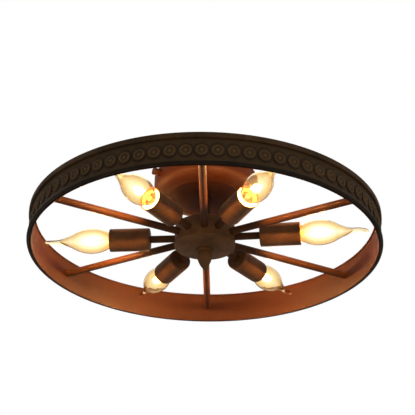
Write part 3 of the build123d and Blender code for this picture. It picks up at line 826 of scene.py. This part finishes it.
def make_rosettes():
    """Pressed discs: a dished face with a raised ring and a centre dot, repeated around the strip.

    The face's height at radius r is a ring hump plus a dot hump, each a raised cosine.
    """
    rim = bpy.context.scene.wheel_rim
    plate, ring_rise, dot_rise = 0.0009, 0.0012, 0.0016
    ring_place, ring_width, dot_width = 0.72, 0.13, 0.27
    around = 28
    share = np.array((1.0, 1.0, 0.97, 0.9, 0.84, 0.78, 0.72, 0.66, 0.6, 0.52, 0.42, 0.3, 0.2, 0.1, 0.0))
    ring = 0.5 + 0.5 * np.cos(np.clip((share - ring_place) / ring_width, -1, 1) * pi)
    dot = 0.5 + 0.5 * np.cos(np.clip(share / dot_width, 0, 1) * pi)
    height = plate + ring_rise * ring + dot_rise * dot
    height[:2] = 0.0, 0.8 * plate
    count = rim.rosette_count
    angle = np.linspace(0, 2 * pi, around, endpoint=False)
    place = (np.arange(count) * 2 * pi / count)[:, None, None]
    radius = (share * rim.rosette_radius)[:, None]
    level = radius * np.cos(angle)
    rise = radius * np.sin(angle) + (BOTTOM_BEAD_HIGH + TOP_BEAD_LOW) / 2
    depth = np.repeat((STRIP_RADIUS + height)[:, None], around, axis=1)
    points = np.stack(
        [
            depth * np.cos(place) - level * np.sin(place),
            depth * np.sin(place) + level * np.cos(place),
            np.repeat(rise[None], count, axis=0),
        ], -1,
    )
    index = np.arange(share.size * around).reshape(share.size, around)
    quads = quads_between(np.hstack([index, index[:, :1]]))
    shifts = (np.arange(count) * share.size * around)[:, None, None]
    faces = (quads[None] + shifts).reshape(-1, 4)
    piece = new_piece("rosettes", points.reshape(-1, 3), faces, "rosette_paint")
    edit = bmesh.new()
    edit.from_mesh(piece.data)
    bmesh.ops.holes_fill(edit, edges=[e for e in edit.edges if e.is_boundary])
    bmesh.ops.recalc_face_normals(edit, faces=edit.faces)
    edit.to_mesh(piece.data)
    edit.free()
    stand_for(piece, "rim_rosettes")


def make_spokes():
    """Spokes and arms: rods and tubes with broken edges, along rays from the axis."""
    edge = 0.0004
    bore_share = 0.75
    for number in range(1, SPOKE_COUNT + 1):
        node = f"spoke_{number}"
        turn, start, end, radius = ray_sizes(node)
        rod = rounded([(start, 0), (start, radius), (end, radius), (end, 0)], [0, edge, edge, 0])
        stand_for(turned_about_ray(f"spoke_rod_{number}", rod, turn, "spoke_paint", 40, False), node)
    for number in range(1, LAMP_COUNT + 1):
        node = f"arm_{number}"
        turn, start, end, radius = ray_sizes(node)
        bore = radius * bore_share
        tube = rounded([(start, bore), (start, radius), (end, radius), (end, bore)], edge)
        stand_for(turned_about_ray(f"arm_tube_{number}", tube, turn, "spoke_paint", 40), node)


def make_cups():
    """Socket cups: spun shells with a rounded back and a rolled mouth."""
    wall = 0.001
    for number in range(1, LAMP_COUNT + 1):
        node = f"socket_cup_{number}"
        turn, start, end, radius = ray_sizes(node)
        cup = rounded(
            [
                (start, TUBE_HOLE), (start, radius), (end, radius), (end, radius - wall),
                (start + wall, radius - wall), (start + wall, TUBE_HOLE),
            ],
            [0.0002, 0.0024, 0.0005, 0.0004, 0.0015, 0.0002], 6,
        )
        stand_for(turned_about_ray(f"lamp_cup_{number}", cup, turn, "lit_cup_paint", 72), node)


def make_hub():
    """Drum, cover and finial: spun and turned pieces about the axis.

    The cover is a bowl: its height over its lowest point grows as the share of its radius to the power 2.6.
    """
    wall = 0.002
    drum = rounded(
        [
            (TUBE_HOLE, HUB_HIGH), (HUB_RADIUS, HUB_HIGH),
            (HUB_RADIUS, HUB_LOW), (HUB_RADIUS - wall, HUB_LOW),
            (HUB_RADIUS - wall, HUB_HIGH - wall), (TUBE_HOLE, HUB_HIGH - wall),
        ],
        [0.0003, 0.0032, 0.0005, 0.0003, 0.001, 0.0002], 8,
    )
    stand_for(turned_about_axis("drum", drum, "lit_hub_paint", 128), "hub_drum")
    bolt_hole = 0.0033
    bowl_wall = 0.0012
    bowl_top = HUB_LOW - 0.001
    place = np.linspace(0, 1, 25)
    radius = HUB_RADIUS * (1 - place) + bolt_hole * place
    face = np.stack([radius, COVER_LOW + (bowl_top - COVER_LOW) * (1 - place) ** 2.6], -1)
    shell = np.vstack([face, face[::-1] + np.array((0, bowl_wall))])
    stand_for(turned_about_axis("cover_bowl", shell, "lit_hub_paint", 128), "hub_cover")
    # Radii of the acorn at drops below its collar's top
    collar = 0.002
    acorn = [
        (0.0096, 0.0024), (0.0103, 0.0065), (0.0101, 0.0105),
        (0.0091, 0.0150), (0.0072, 0.0195), (0.0050, 0.0235),
    ]
    profile = rounded(
        [
            (0.0, COVER_LOW), (FINIAL_RADIUS, COVER_LOW), (FINIAL_RADIUS, COVER_LOW - collar),
            *((radius, COVER_LOW - drop) for radius, drop in acorn),
            (0.0030, FINIAL_LOW + 0.0030), (0.0020, FINIAL_LOW + 0.0016), (0.0, FINIAL_LOW),
        ],
        [0, 0.0008, 0.0008, 0.0006] + [0.002] * 5 + [0.001, 0.001, 0], 4,
    )
    stand_for(turned_about_axis("acorn_finial", profile, "lit_hub_paint", 64, False), "finial")


def make_canopy():
    """Canopy and stem sleeve: a spun pan with a step before its flat face, and a plain tube.

    The pan's shoulder is a quarter of an ellipse: (c + a cos t, z + b sin t).
    """
    wall = 0.0012
    shoulder = 0.054
    face = 0.0515
    skirt = -0.017
    step = CANOPY_LOW + 0.0025
    bend = np.linspace(0, pi / 2, 9)
    width = CANOPY_RADIUS - shoulder
    outer = np.stack([shoulder + width * np.cos(bend), skirt + (step - skirt) * np.sin(bend)], -1)
    back = bend[::-1]
    inner = np.stack(
        [shoulder - wall + width * np.cos(back), skirt + (step + wall - skirt) * np.sin(back)], -1
    )
    outline = np.vstack(
        [
            [(CANOPY_RADIUS, -0.0002), (CANOPY_RADIUS, -0.0006)], outer,
            [(face + 0.0004, CANOPY_LOW + 0.0006), (face - 0.0006, CANOPY_LOW), (TUBE_HOLE, CANOPY_LOW)],
            [(TUBE_HOLE, CANOPY_LOW + wall), (face - wall, CANOPY_LOW + wall)], inner,
            [
                (CANOPY_RADIUS - wall, -0.0004), (CANOPY_RADIUS - wall + 0.0003, 0),
                (CANOPY_RADIUS - 0.0003, 0),
            ],
        ]
    )
    stand_for(turned_about_axis("canopy_pan", outline, around=160), "canopy")
    low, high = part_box("stem_sleeve")
    bore = 0.0052
    sleeve = rounded(ring_section(bore, SLEEVE_RADIUS, low.z, high.z), 0.0003)
    stand_for(turned_about_axis("stem_cover", sleeve, around=64), "stem_sleeve")


def bulb_axis(distance, bulb):
    """Centre line of a bulb at distances from the cup's mouth: how far along, how far aside, and its angle.

    The line is straight to the tail's root, then an arc to one side and a longer arc back: on each arc the
    angle changes evenly, and along and aside are the sums of its cosine and sine.
    """
    turned = np.interp(
        distance,
        np.cumsum([bulb.tail_root, bulb.tail_rise, bulb.tail_fall]),
        [0.0, bulb.rise_turn, bulb.rise_turn - bulb.fall_turn],
    )
    step = np.diff(distance, prepend=distance[0])
    halfway = (turned + np.concatenate([turned[:1], turned[:-1]])) / 2
    return distance[0] + np.cumsum(step * np.cos(halfway)), np.cumsum(step * np.sin(halfway)), turned


def glass_profile(bulb):
    """Radius of the glass at distances from the cup's mouth: neck, flare, belly, waist and tail."""
    shape = np.array(
        [
            (-6.5, 7.7), (-3, 7.7), (0, 10.3), (4, 12.2), (8, 14.1), (13, 15.8), (19, 17.1), (26, 17.5),
            (33, 16.9), (40, 15.3), (46, 13), (52, 9.8), (60, 6.4), (66, 4.4), (73, 2.9), (82, 2.5),
            (89, 2.2), (GLASS_LENGTH * 1000 - 0.6, 1.3), (GLASS_LENGTH * 1000, 0),
        ]
    )
    place, radius = shape.T
    return place / 1000, radius * (bulb.glass_radius / radius.max())


def smooth_curve(place, value, samples):
    """Monotone cubic through the given points: Hermite pieces with harmonic mean slopes."""
    width = np.diff(place)
    slope = np.diff(value) / width
    product = slope[:-1] * slope[1:]
    inner = np.where(product > 0, 2 * product / (slope[:-1] + slope[1:] + 1e-12), 0)
    tangent = np.concatenate([[slope[0]], inner, [slope[-1]]])
    cell = np.clip(np.searchsorted(place, samples) - 1, 0, len(width) - 1)
    t = (samples - place[cell]) / width[cell]
    h00 = 2 * t**3 - 3 * t**2 + 1
    h10 = t**3 - 2 * t**2 + t
    h01 = -2 * t**3 + 3 * t**2
    h11 = t**3 - t**2
    return (
        h00 * value[cell] + h10 * width[cell] * tangent[cell]
        + h01 * value[cell + 1] + h11 * width[cell] * tangent[cell + 1]
    )


BULB_ROLLS = (214.0, 241.0, 70.0, 24.0, 140.0, 8.0)


def make_bulbs():
    """Bulbs: a glass with a bent tail, its stem and filament, and a threaded cap."""
    bulb = bpy.context.scene.wheel_bulb
    for number, roll in zip(range(1, LAMP_COUNT + 1), BULB_ROLLS):
        turn = turn_of(f"bulb_{number}_cap")
        make_glass(number, turn, radians(roll), bulb)
        make_filament(number, turn, bulb)
        make_cap(number, turn, bulb)


def make_glass(number, turn, roll, bulb):
    """Envelope: rings of the profile's radius, square to the bent centre line, outside and inside."""
    origin, out, across, up = ray_frame(turn)
    mouth = cup_mouth(number)
    place, radius = glass_profile(bulb)
    side = np.cos(roll) * up - np.sin(roll) * across
    other = np.cross(out, side)
    angle = np.linspace(0, 2 * pi, 64, endpoint=False)
    surfaces = []
    tip, taper = 0.004, 0.014
    for inset, last in ((0.0, place[-1]), (bulb.glass_wall, bulb.tail_root + bulb.tail_rise)):
        samples = np.concatenate(
            [
                np.linspace(place[0] + inset, 0.0, 12),
                np.linspace(0.001, last - tip, 64),
                last - tip * np.linspace(0.9, 0, 9) ** 2,
            ]
        )
        ring_radius = np.clip(smooth_curve(place, radius, samples) - inset, 0, None)
        if inset:
            closing = np.clip((samples - last + taper) / taper, 0, 1)
            ring_radius *= np.sqrt(1 - closing**2)
        along, aside, arc = bulb_axis(samples, bulb)
        centre = origin + (mouth + along)[:, None] * out + aside[:, None] * side
        tilt = np.cos(arc)[:, None] * side - np.sin(arc)[:, None] * out
        ring = np.cos(angle)[None, :, None] * tilt[:, None] + np.sin(angle)[None, :, None] * other
        surfaces.append(centre[:, None] + ring_radius[:, None, None] * ring)
    outside, inside = surfaces
    grid = np.concatenate([outside[::-1], inside])
    piece = mesh_from_grid(f"glass_bulb_{number}", grid, False, "glass")
    piece.visible_shadow = False
    stand_for(piece, f"bulb_{number}_glass", f"bulb_{number}")


def tube_along(name, path, radius, finish_name, around=12):
    """Round tube along an open path of points: rings square to the path's direction, with closed ends."""
    path = np.array(path, float)
    forward = np.gradient(path, axis=0)
    forward /= np.linalg.norm(forward, axis=1, keepdims=True)
    helper = np.array((0.31, 0.27, 0.91))
    first = np.cross(forward, helper)
    first /= np.linalg.norm(first, axis=1, keepdims=True)
    second = np.cross(forward, first)
    angle = np.linspace(0, 2 * pi, around, endpoint=False)
    sizes = np.concatenate([[0.0], np.full(len(path), radius), [0.0]])
    path, first, second = (np.vstack([rows[:1], rows, rows[-1:]]) for rows in (path, first, second))
    ring = np.cos(angle)[:, None] * first[:, None] + np.sin(angle)[:, None] * second[:, None]
    grid = path[:, None] + sizes[:, None, None] * ring
    return mesh_from_grid(name, grid, False, finish_name)


def ride_inside(piece, number):
    """A bulb's inner piece moves with it and casts no shadow."""
    piece.visible_shadow = False
    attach(piece, f"bulb_{number}")


def make_filament(number, turn, bulb):
    """Stem and filament: a flared glass stem with two lead wires and a coiled filament between them.

    The filament is a helix about an arch, which is foot + rise sin(pi t) along and width cos(pi t) across.
    """
    origin, out, across, up = ray_frame(turn)
    mouth = cup_mouth(number)
    stem = np.array(
        [
            (-0.007, 0.0), (-0.007, 0.0062), (-0.004, 0.0058), (0.001, 0.0034), (0.006, 0.0024),
            (0.012, 0.0021), (0.015, 0.0024), (0.0165, 0.0016), (0.0168, 0.0),
        ]
    )
    stem[:, 0] += mouth
    piece = turned_about_ray(f"bulb_stem_{number}", stem, turn, "stem", around=32, closed=False)
    ride_inside(piece, number)
    arch_foot, arch_rise, half_width = 0.019, 0.014, 0.0062
    turns, coil = 26, 0.00075
    t = np.linspace(0, 1, 420)
    sweep = 2 * pi * turns * t
    lengthwise = arch_foot + arch_rise * np.sin(pi * t)
    sideways = half_width * np.cos(pi * t)
    path = (
        origin + (mouth + lengthwise)[:, None] * out + sideways[:, None] * across
        + coil * (np.cos(sweep)[:, None] * up + np.sin(sweep)[:, None] * out)
    )
    ride_inside(tube_along(f"filament_{number}", path, 0.00022, "filament", around=6), number)
    lead_root, root_width, lead_bow = 0.012, 0.001, 0.0008
    for side in (-1, 1):
        lead = np.linspace(0, 1, 12)[:, None]
        start = origin + (mouth + lead_root) * out + side * root_width * across
        end = origin + (mouth + arch_foot) * out + side * half_width * across
        path = start * (1 - lead) + end * lead + np.sin(lead * pi) * lead_bow * out
        wire = tube_along(f"lead_{number}_{'ab'[side > 0]}", path, 0.0003, "brass", around=8)
        ride_inside(wire, number)
    light = bpy.data.lights.new(f"bulb_light_{number}", "POINT")
    light.energy = bulb.lamp_power
    light.color = bulb.lamp_colour
    light.shadow_soft_size = 0.006
    lamp = bpy.data.objects.new(f"bulb_light_{number}", light)
    lamp_place = 0.023
    lamp.location = Vector(origin + (mouth + lamp_place) * out)
    bpy.context.scene.collection.objects.link(lamp)
    lamp.visible_camera = False
    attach(lamp, f"bulb_{number}")


def make_cap(number, turn, bulb):
    """Screw cap with a helical thread: its radius is root + depth (0.5 + 0.5 cos(2 pi s / pitch - a))."""
    origin, out, across, up = ray_frame(turn)
    start, end = along_ray(f"bulb_{number}_cap", turn)
    rim_length = 0.0075
    skirt = end - rim_length
    pitch = bulb.thread_pitch
    angle = np.linspace(0, 2 * pi, 48, endpoint=False)
    threaded = np.linspace(start, skirt, 90)
    fade = np.clip(np.minimum(threaded - start, skirt - threaded) / (0.3 * pitch), 0, 1)
    phase = 2 * pi * (threaded - start)[:, None] / pitch - angle[None]
    root, depth = 0.0062, 0.00072
    thread = root + depth * fade[:, None] * (0.5 + 0.5 * np.cos(phase))
    # Places and radii of the closed lower end, and of the flared rim with its hollow
    back = np.array([(start, 0.0), (start, 0.0055)])
    rim = np.array(
        [
            (skirt, 0.0078), (skirt + 0.0004, 0.0083), (end - 0.0003, 0.0084), (end, 0.0082),
            (end, 0.0079), (skirt + 0.001, 0.0079), (skirt + 0.001, 0.0),
        ]
    )
    along = np.concatenate([back[:, 0], threaded, rim[:, 0]])
    radius = np.vstack([np.repeat(back[:, 1:], 48, axis=1), thread, np.repeat(rim[:, 1:], 48, axis=1)])
    ring = np.cos(angle)[:, None] * across + np.sin(angle)[:, None] * up
    grid = origin + along[:, None, None] * out + radius[:, :, None] * ring[None]
    piece = mesh_from_grid(f"screw_cap_{number}", grid, False, "brass")
    stand_for(piece, f"bulb_{number}_cap", f"bulb_{number}")


FRAME_FINISHES = {
    "zinc": ("ceiling_bracket", "stem_tube", "jam_nuts", "hub_strap", "cover_bolt", "spoke_screws"),
    "paint": ("canopy_side_screws",),
    "green": ("earth_screw",),
    "plastic": ("terminal_block", "splice_block"),
    "sleeving": ("inner_wiring",),
    "porcelain": ("lamp_holders",),
    "brass": ("holder_shells", "holder_contacts"),
    "solder": tuple(f"bulb_{number}_contact" for number in range(1, LAMP_COUNT + 1)),
}


def dress_frame():
    """Give the frame's own nodes their finishes."""
    for finish_name, nodes in FRAME_FINISHES.items():
        for node in nodes:
            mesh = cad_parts[node].data
            mesh.materials.clear()
            mesh.materials.append(finish(finish_name))


def aim(thing, place, target):
    """Put a thing at a place and point its -Z axis at a target."""
    thing.location = place
    thing.rotation_mode = "QUATERNION"
    thing.rotation_quaternion = (Vector(target) - Vector(place)).to_track_quat("-Z", "Y")


def make_stage():
    """Floor, world, soft lamps and the camera."""
    scene = bpy.context.scene
    stage = scene.wheel_stage
    scene.view_settings.view_transform = "Standard"
    reach = 6.0
    grid = np.array([(-reach, -reach), (reach, -reach), (reach, reach), (-reach, reach)])
    points = np.column_stack([grid, np.full(4, -stage.floor_drop)])
    new_piece("studio_floor", points, np.array([[0, 1, 2, 3]]), "floor")
    make_world(stage.world_light)
    for name, place, power, width in (
        ("key_light", (0.35, -1.85, -0.5), 7.5, 1.2),
        ("fill_light", (-1.75, -0.3, -0.7), 2.0, 1.2),
        ("top_light", (0.3, 0.9, 1.6), 6.0, 1.4),
    ):
        lamp = bpy.data.lights.new(name, "AREA")
        lamp.energy = power
        lamp.size = width
        lamp.color = (1.0, 0.93, 0.82)
        holder = bpy.data.objects.new(name, lamp)
        scene.collection.objects.link(holder)
        aim(holder, place, (0, 0, ARM_HEIGHT))
        holder.visible_camera = False
    make_camera(stage)


def make_world(strength):
    """Even light, with plain white where the camera, gloss or glass sees past the object."""
    world = bpy.data.worlds.new("studio_world")
    bpy.context.scene.world = world
    nodes = Nodes(world)
    seen = nodes.add("ShaderNodeLightPath", output="Is Camera Ray")
    gloss = nodes.add("ShaderNodeLightPath", output="Is Glossy Ray")
    through = nodes.add("ShaderNodeLightPath", output="Is Transmission Ray")
    light = nodes.add("ShaderNodeBackground", None, {"Color": (1, 0.9, 0.76, 1), "Strength": strength})
    white = nodes.add("ShaderNodeBackground", None, {"Color": (1, 1, 1, 1), "Strength": 1.0})
    factor = seen.at_least(through).at_least(gloss * 0.3)
    both = nodes.add("ShaderNodeMixShader", None, {0: factor, 1: light, 2: white})
    nodes.add("ShaderNodeOutputWorld", None, {"Surface": both})


def make_camera(stage):
    """Camera below the wheel, turned with the view, aimed near the stem and rolled a little."""
    data = bpy.data.cameras.new("view_camera")
    camera = bpy.data.objects.new("view_camera", data)
    bpy.context.scene.collection.objects.link(camera)
    data.sensor_width = 36.0
    data.lens = data.sensor_width / 2 / tan(stage.view_angle / 2)
    turn = Matrix.Rotation(stage.camera_turn, 3, "Z")
    rim_centre = Vector((0, 0, HOOP_LOW))
    back = Vector((0, -cos(stage.camera_below), -sin(stage.camera_below)))
    place = rim_centre + turn @ (back * stage.camera_distance)
    aside, above = 0.0028, 0.0712
    target = rim_centre + turn @ Vector((aside, 0, above))
    forward = (target - place).normalized()
    right = forward.cross(AXIS_UP).normalized()
    up = right.cross(forward)
    tilted_right = right * cos(stage.camera_roll) + up * sin(stage.camera_roll)
    tilted_up = up * cos(stage.camera_roll) - right * sin(stage.camera_roll)
    turned = Matrix((tilted_right, tilted_up, -forward)).transposed().to_4x4()
    camera.matrix_world = Matrix.Translation(place) @ turned
    data.clip_start = 0.01
    data.clip_end = 50
    bpy.context.scene.camera = camera


class MakeRim(Operator):
    """Build the rim's hoop, beads, strip and rosettes"""

    bl_idname = "wheel_light.make_rim"
    bl_label = "Rim"

    def execute(self, context):
        make_rim()
        make_rosettes()
        return {"FINISHED"}


class MakeSpokes(Operator):
    """Build the spokes and arms"""

    bl_idname = "wheel_light.make_spokes"
    bl_label = "Spokes and Arms"

    def execute(self, context):
        make_spokes()
        return {"FINISHED"}


class MakeCups(Operator):
    """Build the socket cups"""

    bl_idname = "wheel_light.make_cups"
    bl_label = "Socket Cups"

    def execute(self, context):
        make_cups()
        return {"FINISHED"}


class MakeHub(Operator):
    """Build the drum, its cover and the finial"""

    bl_idname = "wheel_light.make_hub"
    bl_label = "Hub"

    def execute(self, context):
        make_hub()
        return {"FINISHED"}


class MakeCanopy(Operator):
    """Build the canopy and the stem's sleeve"""

    bl_idname = "wheel_light.make_canopy"
    bl_label = "Canopy"

    def execute(self, context):
        make_canopy()
        return {"FINISHED"}


class MakeBulbs(Operator):
    """Build the bulbs and their light"""

    bl_idname = "wheel_light.make_bulbs"
    bl_label = "Bulbs"

    def execute(self, context):
        make_bulbs()
        return {"FINISHED"}


class DressFrame(Operator):
    """Give the frame's own pieces their finishes"""

    bl_idname = "wheel_light.dress_frame"
    bl_label = "Frame Finishes"

    def execute(self, context):
        dress_frame()
        return {"FINISHED"}


class MakeStage(Operator):
    """Build the floor, lights and camera"""

    bl_idname = "wheel_light.make_stage"
    bl_label = "Stage"

    def execute(self, context):
        make_stage()
        return {"FINISHED"}


STEPS = (MakeRim, MakeSpokes, MakeCups, MakeHub, MakeCanopy, MakeBulbs, DressFrame, MakeStage)


class WheelLightPanel(Panel):
    """Steps that build the light"""

    bl_idname = "VIEW3D_PT_wheel_light"
    bl_label = "Wheel Light"
    bl_space_type = "VIEW_3D"
    bl_region_type = "UI"
    bl_category = "Wheel Light"

    def draw(self, context):
        for step in STEPS:
            self.layout.operator(step.bl_idname)


SETTINGS = {
    "wheel_rim": RimSettings,
    "wheel_bulb": BulbSettings,
    "wheel_paint": PaintSettings,
    "wheel_stage": StageSettings,
}


def register():
    for name, group in SETTINGS.items():
        bpy.utils.register_class(group)
        setattr(bpy.types.Scene, name, PointerProperty(type=group))
    for step in (*STEPS, WheelLightPanel):
        bpy.utils.register_class(step)


def unregister():
    for step in (WheelLightPanel, *reversed(STEPS)):
        bpy.utils.unregister_class(step)
    for name, group in SETTINGS.items():
        delattr(bpy.types.Scene, name)
        bpy.utils.unregister_class(group)


def main():
    register()
    bpy.ops.wheel_light.make_rim()
    bpy.ops.wheel_light.make_spokes()
    bpy.ops.wheel_light.make_cups()
    bpy.ops.wheel_light.make_hub()
    bpy.ops.wheel_light.make_canopy()
    bpy.ops.wheel_light.make_bulbs()
    bpy.ops.wheel_light.dress_frame()
    bpy.ops.wheel_light.make_stage()
    bpy.context.view_layer.update()


if __name__ == "__main__":
    main()
